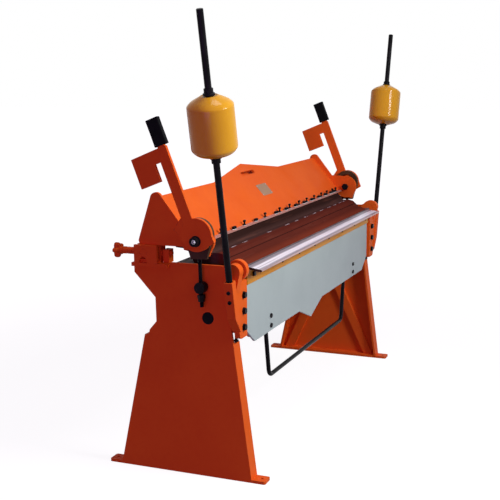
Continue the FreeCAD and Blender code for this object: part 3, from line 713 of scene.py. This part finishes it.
def make_finger_screws():
    """Cap screws on bright washers and T-headed jack bolts, one set over each finger."""
    caps, washers, jacks = bmesh.new(), bmesh.new(), bmesh.new()
    cap_washer, jack_washer, bar_radius, bar_inset = 2, 1.2, 5.4, 2
    for low, high in solids_of("finger_cap_screws"):
        place = Matrix.Translation(seat_of(low, high))
        skin(washers, washer_rings(inner=3.4, outer=8.6, thick=cap_washer), place, loop=True)
        skin(caps, cap_screw_rings(radius=6.9, height=11, key=2.9), raised(place, cap_washer))
    for low, high in solids_of("finger_jack_bolts"):
        seat = seat_of(low, high)
        place = Matrix.Translation(seat)
        skin(washers, washer_rings(inner=5.2, outer=9.4, thick=jack_washer), place, loop=True)
        skin(jacks, hex_head_rings(flat=6.4, height=5.6), raised(place, jack_washer))
        skin(jacks, thread_rings(radius=4, pitch=1.25, length=17, count=24), place)
        bar = (high.x - low.x) / MM - 2 * bar_inset
        across = facing((low.x + bar_inset * MM, seat.y, high.z - 2.5 * MM), X)
        skin(jacks, lathe([(0, 0), (bar_radius, 0), (bar_radius, bar), (0, bar)], [0, 2, 2, 0], 24),
             across)
    make_piece("cap_screw_heads", caps, "black_steel", "clamp_beam", "black_steel",
               "finger_cap_screws")
    make_piece("screw_washers", washers, "zinc", "clamp_beam", "bright_nose")
    make_piece("jack_bolts", jacks, "black_steel", "clamp_beam", "black_steel", "finger_jack_bolts")


def make_leaf_fasteners():
    """The leaf's bolts and screws, told apart by size and place, each built again at its place."""
    heads, washers = bmesh.new(), bmesh.new()
    long_bolt, bar_screw, panel_screw = 40 * MM, 4 * MM, 8 * MM
    for low, high in solids_of("leaf_bolts"):
        size, middle = high - low, (low + high) / 2
        back = Vector((middle.x, high.y, middle.z))
        if size.y > long_bolt:
            add_block_bolt(heads, washers, middle, low.y, high.y)
        elif size.z > long_bolt:
            add_stop_bolt(heads, middle, low.z, high.z)
        elif abs(middle.x) > GRIP_SCREWS_X:
            way = Vector((math.copysign(math.cos(ROD_SPLAY), middle.x), 0, -math.sin(ROD_SPLAY)))
            skin(heads, cap_screw_rings(radius=7.4, height=6, key=3.4),
                 raised(facing(middle, way), -3))
        elif size.y < bar_screw:
            skin(heads, cap_screw_rings(radius=6.4, height=3.2, key=2.6), facing(back, -Y))
        elif size.y < panel_screw:
            skin(heads, hex_head_rings(flat=8.6, height=6.6), facing(back, -Y))
        else:
            skin(heads, hex_head_rings(flat=9.8, height=8.8), facing(back, -Y))
    make_piece("leaf_fasteners", heads, "black_steel", "leaf", "black_steel", "leaf_bolts")
    make_piece("leaf_washers", washers, "black_steel", "leaf", "black_steel")


def add_block_bolt(heads, washers, middle, front, back):
    """A bolt through an end block and the leaf's frame, with its washer and its thread's end."""
    head_thick, washer_thick, thread_end = 12, 2, 6
    seat = facing((middle.x, front + head_thick * MM, middle.z), -Y)
    skin(washers, washer_rings(inner=8.2, outer=14.5, thick=washer_thick), seat, loop=True)
    skin(heads, hex_head_rings(flat=11.6, height=9.6), raised(seat, washer_thick))
    skin(heads, thread_rings(radius=7.6, pitch=2, length=thread_end, count=24),
         facing((middle.x, back - thread_end * MM, middle.z), Y))


def add_stop_bolt(heads, middle, bottom, top):
    """An upright bolt with its head below, under an end of the leaf's frame."""
    head_thick = 8
    seat = Vector((middle.x, middle.y, bottom + head_thick * MM))
    skin(heads, hex_head_rings(flat=8.8, height=7.8), facing(seat, -Z))
    length = (top - bottom) / MM - head_thick
    skin(heads, thread_rings(radius=5.9, pitch=1.75, length=length, count=24), facing(seat, Z))


def make_lever_bolts():
    """Pivot bolt of each lever: washer, head with a bright worn socket, and the nut inside."""
    steel_parts, worn = bmesh.new(), bmesh.new()
    washer, nut, head_and_washer = 4, 14, 24
    for low, high in solids_of("lever_bolts"):
        outward = 1 if low.x > 0 else -1
        inner, outer = (low.x, high.x) if outward > 0 else (high.x, low.x)
        y, z = (low.y + high.y) / 2, (low.z + high.z) / 2
        seat = raised(facing((outer, y, z), X * outward), -head_and_washer)
        skin(steel_parts, washer_rings(inner=12.2, outer=21.8, thick=washer), seat, loop=True)
        skin(steel_parts, cap_screw_rings(radius=18.3, height=20, key=8.6), raised(seat, washer))
        skin(worn, [hex_ring(8.5, 0), hex_ring(8.5, 4.5), hex_ring(7.9, 4.5), hex_ring(7.6, 0.6)],
             raised(seat, 14.5), loop=True)
        skin(worn, lathe([(0, 0), (7.6, 0), (7.6, 0.5), (4, 1.4), (0, 1.6)]), raised(seat, 11.8))
        skin(steel_parts, pin_rings(radius=11.9, length=32), raised(seat, -30))
        skin(steel_parts, hex_head_rings(flat=15.8, height=13.8),
             raised(facing((inner, y, z), -X * outward), -nut))
        skin(steel_parts, pin_rings(radius=11.8, length=40),
             raised(facing((inner, y, z), X * outward), 4))
    make_piece("lever_pivot_bolts", steel_parts, "black_steel", "clamp_beam", "black_steel",
               "lever_bolts")
    make_piece("bolt_sockets", worn, "zinc", "clamp_beam", "bright_nose")


# links, adjusting screws and knobs

def make_link_rods():
    """Threaded tension rods with two nuts below the trunnion."""
    below, above = 77, 113.5
    lean = math.atan2(LINK_RUN, LINK_RISE)
    way = Vector((0, math.sin(lean), math.cos(lean)))
    for name, _ in SIDES:
        low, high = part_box(f"{name}_trunnion")
        x = PIVOTS[f"{name}_link_swing"][0]
        centre = Vector((x, (low[1] + high[1]) / 2, (low[2] + high[2]) / 2))
        bm = bmesh.new()
        skin(bm, thread_rings(radius=7.9, pitch=2.4, length=below + above, depth=1.3),
             raised(facing(centre, way), -below))
        for drop, flat, height in ((28, 13.9, 14.6), (43.2, 11.9, 12.6)):
            skin(bm, hex_head_rings(flat, height), raised(facing(centre, -way), drop))
        make_piece(f"{name}_threaded_rod", bm, "black_steel", f"{name}_link", "black_steel",
                   f"{name}_link_rod")


def make_trunnions():
    """Round boss of each trunnion with a rounded rim and a turned centre, and its pin."""
    pin_radius, boss_radius, boss_length, rim, dish = 12, 23, 37, 15, 1.6
    for name, side in SIDES:
        low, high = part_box(f"{name}_trunnion")
        y, z = (low[1] + high[1]) / 2, (low[2] + high[2]) / 2
        outer = high[0] if side > 0 else low[0]
        length = (high[0] - low[0]) / MM
        pin = length - boss_length
        floor = length - dish
        rings = lathe([(0, 0), (pin_radius, 0), (pin_radius, pin), (boss_radius, pin),
                       (boss_radius, length), (rim, length), (rim - 1, floor), (0, floor)],
                      [0, 1, 0, 1.2, 2.4, 0.6, 0.6, 0])
        bm = bmesh.new()
        skin(bm, rings, raised(facing((outer, y, z), X * side), -length))
        make_piece(f"{name}_trunnion_boss", bm, "black_steel", f"{name}_link", "black_steel",
                   f"{name}_trunnion")


def lobed_ring(reach, height, count=80):
    """A ring with five lobes, as on a moulded star knob."""
    ring = []
    for turn in turns(count):
        lobe = 0.5 + 0.5 * math.cos(5 * turn)
        ring.append(polar(reach * (0.58 + 0.42 * lobe ** 0.7), turn, height))
    return ring


# heights along the adjusting screw, as Y in the frame
SCREW_TIP, SHANK_START, COLLAR, COLLAR_END, COARSE_START = 50, 86, 88.8, 92.6, 195.4
HUB_START, HUB_END = 255.2, 270.9


def make_adjusters():
    """Adjusting screws with a fine and a coarse thread, and their five-lobed knobs."""
    for name, _ in SIDES:
        low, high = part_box(f"{name}_adjusting_screw")
        axis = facing(((low[0] + high[0]) / 2, 0, (low[2] + high[2]) / 2), Y)
        bm = bmesh.new()
        skin(bm, thread_rings(radius=9.9, pitch=2.5, length=38, depth=1.4), raised(axis, SCREW_TIP))
        shank = [(0, SHANK_START), (9, SHANK_START), (9, COLLAR), (15.9, COLLAR),
                 (15.9, COLLAR_END), (9.8, COLLAR_END), (9.8, COARSE_START), (0, COARSE_START)]
        skin(bm, lathe(shank, [0, 0, 0, 0.8, 0.8, 0, 0, 0]), axis)
        skin(bm, thread_rings(radius=14.9, pitch=6, length=60, depth=2.6, count=48),
             raised(axis, COARSE_START))
        hub = [(0, HUB_START), (14.6, HUB_START), (14.9, HUB_END), (0, HUB_END)]
        skin(bm, lathe(hub, [0, 2, 1, 0]), axis)
        make_piece(f"{name}_threaded_screw", bm, "orange_paint", f"{name}_screw", "orange_paint",
                   f"{name}_adjusting_screw")
        neck = ((11, 271.2), (13.5, 271.8), (14, 273.5), (14, 283.0))
        lobes = ((24, 283.5), (29.5, 285.2), (31.8, 288.5), (32.4, 293.5), (32.4, 299.0),
                 (31.8, 304.0), (29.5, 307.5), (25, 309.5))
        cap = ((13, 309.2), (12, 309.8), (11, 310.6), (8, 310.9), (0.1, 310.9))
        rings = [circle(radius, height, 80) for radius, height in neck]
        rings += [lobed_ring(reach, height) for reach, height in lobes]
        rings += [circle(radius, height, 80) for radius, height in cap]
        bm = bmesh.new()
        skin(bm, rings, axis)
        make_piece(f"{name}_star_knob", bm, "orange_paint", f"{name}_screw", "orange_paint",
                   f"{name}_adjusting_knob")


# counterweights and their collars

def rod_place(side):
    """The frame of a counterweight's rod: its Z runs up the rod from the top of the socket."""
    x, y, z = ROD_START
    turn = Matrix.Rotation(side * ROD_SPLAY, 4, "Y") @ Matrix.Rotation(ROD_FORWARD, 4, "X")
    return Matrix.Translation(Vector((side * x, y, z))) @ turn


def weight_rings():
    """A spun weight: wide body, sloping shoulders and a shallow dish around the bore."""
    bore, dish, rim, shoulder, radius = 13, 29, 31, 71, 84.6
    low, high = WEIGHT_LOW, WEIGHT_HIGH
    points = [(bore, low + 2), (dish, low + 2), (rim, low), (shoulder, low + 14),
              (radius, low + 31), (radius, high - 35), (shoulder, high - 21), (rim, high),
              (dish, high - 2), (bore, high - 2)]
    return lathe(points, [0, 0, 1.5, 60, 16, 14, 60, 1.5, 0, 0], 128)


def add_collar(bm, place, side, start, way):
    """A stepped collar that stands on a weight's end, with its set screw."""
    bore = ROD_RADIUS + 0.3
    steps = [(bore, 0), (21.8, 0), (21.8, 7), (17.2, 9), (17.2, 24.6), (bore, 24.6)]
    skin(bm, lathe([(radius, start + way * height) for radius, height in steps],
                   [0, 0.6, 1.2, 1.2, 1.4, 0]), place, loop=True)
    spot = Vector((side * 16.4, 0, start + way * 16)) * MM
    sideways = Matrix.Rotation(side * math.radians(90), 4, "Y")
    skin(bm, cap_screw_rings(radius=4.2, height=2.4, key=1.9),
         place @ Matrix.Translation(spot) @ sideways)


def make_weights():
    """Spun yellow counterweights, each held by two stepped black collars."""
    gap = 0.3
    for name, side in SIDES:
        place = rod_place(side)
        bm = bmesh.new()
        skin(bm, weight_rings(), place, loop=True)
        make_piece(f"{name}_weight_body", bm, "yellow_paint", f"{name}_weight", "yellow_paint",
                   f"{name}_counterweight", sharp=50)
        bm = bmesh.new()
        add_collar(bm, place, side, WEIGHT_LOW - gap, -1)
        add_collar(bm, place, side, WEIGHT_HIGH + gap, 1)
        make_piece(f"{name}_collars", bm, "black_steel", f"{name}_weight", "black_steel",
                   f"{name}_rod_collars")


# plugs, heels and grips

def make_plugs():
    """Domed plugs in the legs' webs."""
    bm = bmesh.new()
    depth, stem, cap, dome = 15, 17.8, 24.6, 4
    profile = [(0, -depth), (stem, -depth), (stem, 0), (cap, 0), (24.8, 1.2), (20, 3.2), (9, 3.9),
               (0, dome)]
    rings = lathe(profile, [0, 1, 0, 0.5, 0.8, 12, 20, 0])
    for low, high in solids_of("leg_plugs"):
        outward = 1 if low.x > 0 else -1
        outer = high.x if outward > 0 else low.x
        y, z = (low.y + high.y) / 2, (low.z + high.z) / 2
        skin(bm, rings, raised(facing((outer, y, z), X * outward), -dome))
    make_piece("domed_plugs", bm, "black_grip", "frame", "black_steel", "leg_plugs")


def lever_place(name):
    """The frame of a lever: its Z runs up the lever from its pivot."""
    return Matrix.Translation(Vector(PIVOTS[f"{name}_lever_turn"])) @ Matrix.Rotation(
        -LEVER_LEAN, 4, "X")


def make_heels():
    """The pointed heel at the back of each lever's hub, flush with the lever's plate."""
    outline = [(16, 106), (30, 103), (75, 71), (64, 56), (61, 16), (46, 0), (30, 45)]
    rings = [[Vector((x, across, along)) for across, along in outline]
             for x in (-7.5, -2.5, 2.5, 7.5)]
    for name, _ in SIDES:
        bm = bmesh.new()
        skin(bm, rings, lever_place(name))
        bmesh.ops.recalc_face_normals(bm, faces=bm.faces)
        round_edges(bm, 1.2)
        make_piece(f"{name}_lever_heel", bm, "orange_paint", f"{name}_lever", "orange_paint")


def grip_ring(height, scale):
    """A ring near a rectangle, with rounded corners and slightly full sides."""
    half_wide, half_deep, middle, squareness = 13, 27.5, -1.5, 2 / 9
    ring = []
    for turn in turns(96):
        wide = math.copysign(half_wide * abs(math.cos(turn)) ** squareness, math.cos(turn))
        deep = math.copysign(half_deep * abs(math.sin(turn)) ** squareness, math.sin(turn))
        ring.append(Vector((wide * scale, middle + deep * scale, height)))
    return ring


def make_grips():
    """Moulded grips: a rounded block, a little slimmer between its two ends."""
    rows = [(391, 0.5), (391.4, 0.93), (393, 1.0), (396, 1.0), (398, 0.985), (446, 0.975),
            (492, 0.985), (496, 1.0), (499, 0.985), (500.4, 0.93), (501, 0.5)]
    rings = [grip_ring(height, scale) for height, scale in rows]
    for name, _ in SIDES:
        bm = bmesh.new()
        skin(bm, rings, lever_place(name))
        make_piece(f"{name}_moulded_grip", bm, "black_grip", f"{name}_lever", "black_grip",
                   f"{name}_lever_grip", sharp=40)


# weld beads

def bead(bm, start, end, radius, seed):
    """A run of weld along a line, with the ripples that a welder leaves."""
    ripple = 2.2
    start, end = Vector(start), Vector(end)
    length = (end - start).length / MM
    rows = max(6, int(length / ripple))
    chance = random.Random(seed)
    rings = []
    for row in range(rows + 1):
        ease = min(1.0, row / 2, (rows - row) / 2)
        wave = 1 + 0.1 * math.sin(row * 2.1) + chance.uniform(-0.05, 0.05)
        swell = radius * (0.35 + 0.65 * ease) * wave
        rings.append(circle(swell, row * length / rows, 10))
    skin(bm, rings, facing(start, end - start))


# welds on the inner face of a leg's web: both ends as Y and Z, and the bead's radius
BRACE_HALF, BRACE_TOP, BRACE_SPREAD, BRACE_MIDDLE = 25, 0.527, 239, 5
FOOT_TOP = 0.012
BRACE_BEAD = 3.2
WEB_WELDS = (
    ((-0.282, FOOT_TOP), (0.280, FOOT_TOP), 3.4),
    ((-0.2816, 0.014), (-0.2157, 0.5605), 2.8),
    ((0.2795, 0.014), (0.1597, 0.568), 2.8),
    ((-0.180, 0.834), (-0.142, 0.690), 3),
    ((0.088, 0.8), (0.088, 0.73), 3),
    ((-0.138, 0.6895), (0.053, 0.6895), 3))

# welds of the end plates, and of the lifting handle's legs, which lean
FRONT_WELD_START, FRONT_WELD_LENGTH, FRONT_BEAD = (-0.0495, 0.952), 0.238, 2.6
LEDGE_WELD, LEDGE_BEAD = ((-0.04, 0.9505), (0.16, 0.9505)), 2.4
HANDLE_TOP, HANDLE_LOW = (0.5985, -0.2095, 0.632), (0.5955, -0.2095, 0.606)
HANDLE_SIDES, HANDLE_BEAD = (-0.009, 0.0095), 3


def make_beads():
    """Weld beads on the frame, the clamping beam and the leaf, at the joints that are welded."""
    frame_beads, beam_beads, leaf_beads = bmesh.new(), bmesh.new(), bmesh.new()
    seeds = itertools.count(1)
    for _, side in SIDES:
        web = side * WEB_X
        for lean in (-1, 1):
            for edge in (-BRACE_HALF, BRACE_HALF):
                top = (web, (BRACE_MIDDLE + edge) * MM, BRACE_TOP)
                low = (web, (lean * BRACE_SPREAD + edge) * MM, FOOT_TOP)
                bead(frame_beads, top, low, BRACE_BEAD, next(seeds))
        for start, end, radius in WEB_WELDS:
            bead(frame_beads, (web, *start), (web, *end), radius, next(seeds))
        inner = side * END_PLATE_X
        start = Vector((inner, *FRONT_WELD_START))
        bead(beam_beads, start, start + FRONT_UP * FRONT_WELD_LENGTH, FRONT_BEAD, next(seeds))
        start, end = [(inner, *spot) for spot in LEDGE_WELD]
        bead(beam_beads, start, end, LEDGE_BEAD, next(seeds))
        for beside in HANDLE_SIDES:
            top, low = [(side * (x + beside), y, z) for x, y, z in (HANDLE_TOP, HANDLE_LOW)]
            bead(leaf_beads, top, low, HANDLE_BEAD, next(seeds))
    make_piece("frame_welds", frame_beads, "orange_paint", "frame", "orange_paint")
    make_piece("beam_welds", beam_beads, "orange_paint", "clamp_beam", "orange_paint")
    make_piece("leaf_welds", leaf_beads, "black_steel", "leaf", "black_steel")


# pieces on the sloping front, in its own frame: X along it, Y up it and Z out of it

FRONT_PLACE = Matrix.Translation(FRONT_FOOT) @ Matrix.Rotation(math.pi / 2 - FRONT_LEAN, 4, "X")


def make_label_plate():
    """A bare plate with four rivets, where the machine carries a label."""
    left, right, low, high = -24, 100, 104, 169
    thick, corner, edge, rivet_inset = 0.8, 4, 0.25, 7
    centres = ((right - corner, high - corner), (left + corner, high - corner),
               (left + corner, low + corner), (right - corner, low + corner))
    rings = []
    for inset, height in ((0, 0.05), (0, thick - edge), (edge, thick)):
        ring = []
        for quarter, centre in enumerate(centres):
            for step in range(7):
                angle = (quarter + step / 6) * math.pi / 2
                ring.append(Vector((*centre, 0)) + polar(corner - inset, angle, height))
        rings.append(ring)
    bm = bmesh.new()
    skin(bm, rings, FRONT_PLACE)
    make_piece("label_plate", bm, "bare_label", "clamp_beam", "orange_paint")
    bm = bmesh.new()
    rivet = lathe([(2.4, 0), (2.2, 0.7), (1.2, 1.2), (0, 1.35)], None, 20)
    for x in (left + rivet_inset, right - rivet_inset):
        for y in (low + rivet_inset, high - rivet_inset):
            skin(bm, rivet, FRONT_PLACE @ Matrix.Translation(Vector((x, y, thick)) * MM))
    make_piece("label_rivets", bm, "zinc", "clamp_beam", "bright_nose")


def make_slot_pocket():
    """A bent sheet behind the lifting slot and seen through it, with its web set back."""
    outline = [(227.2, -11.8), (227.2, -32.0), (228.4, -35.2), (231.5, -36.6), (284.0, -36.6),
               (284.0, -32.2), (232.8, -32.2), (231.6, -31.0), (231.6, -11.8)]
    rings = [[Vector((x, up, out)) for up, out in outline] for x in (-45, 60, 160, 232)]
    bm = bmesh.new()
    skin(bm, rings, FRONT_PLACE)
    round_edges(bm, 0.6)
    make_piece("slot_pocket", bm, "orange_paint", "clamp_beam", "orange_paint")


make_finger_screws()
make_slot_pocket()
make_leaf_fasteners()
make_lever_bolts()
make_link_rods()
make_trunnions()
make_adjusters()
make_weights()
make_plugs()
make_heels()
make_grips()
make_beads()
make_label_plate()


# widths of the rounded edges in millimetres

EDGES = {
    "bed_beam": 2.0, "bed_plate": 0.8, "beam_front_plate": 1.0, "beam_back_plate": 0.8,
    "beam_ledge": 0.6, "leaf_bar": 0.8, "nose_bar": 0.4, "leaf_panel": 0.8, "leaf_frame": 0.8}
SIDE_EDGES = {
    "leg": 1.2, "pivot_block": 1.0, "end_plate": 1.2, "lever": 1.4, "link_head": 1.0,
    "end_block": 1.4, "rod_socket": 1.2}
FINGER_EDGE = 0.7

for node, width in EDGES.items():
    soften(node, width)
for node, width in SIDE_EDGES.items():
    for name, _ in SIDES:
        soften(f"{name}_{node}", width)
for number in range(1, 13):
    soften(f"finger_{number:02d}", FINGER_EDGE)
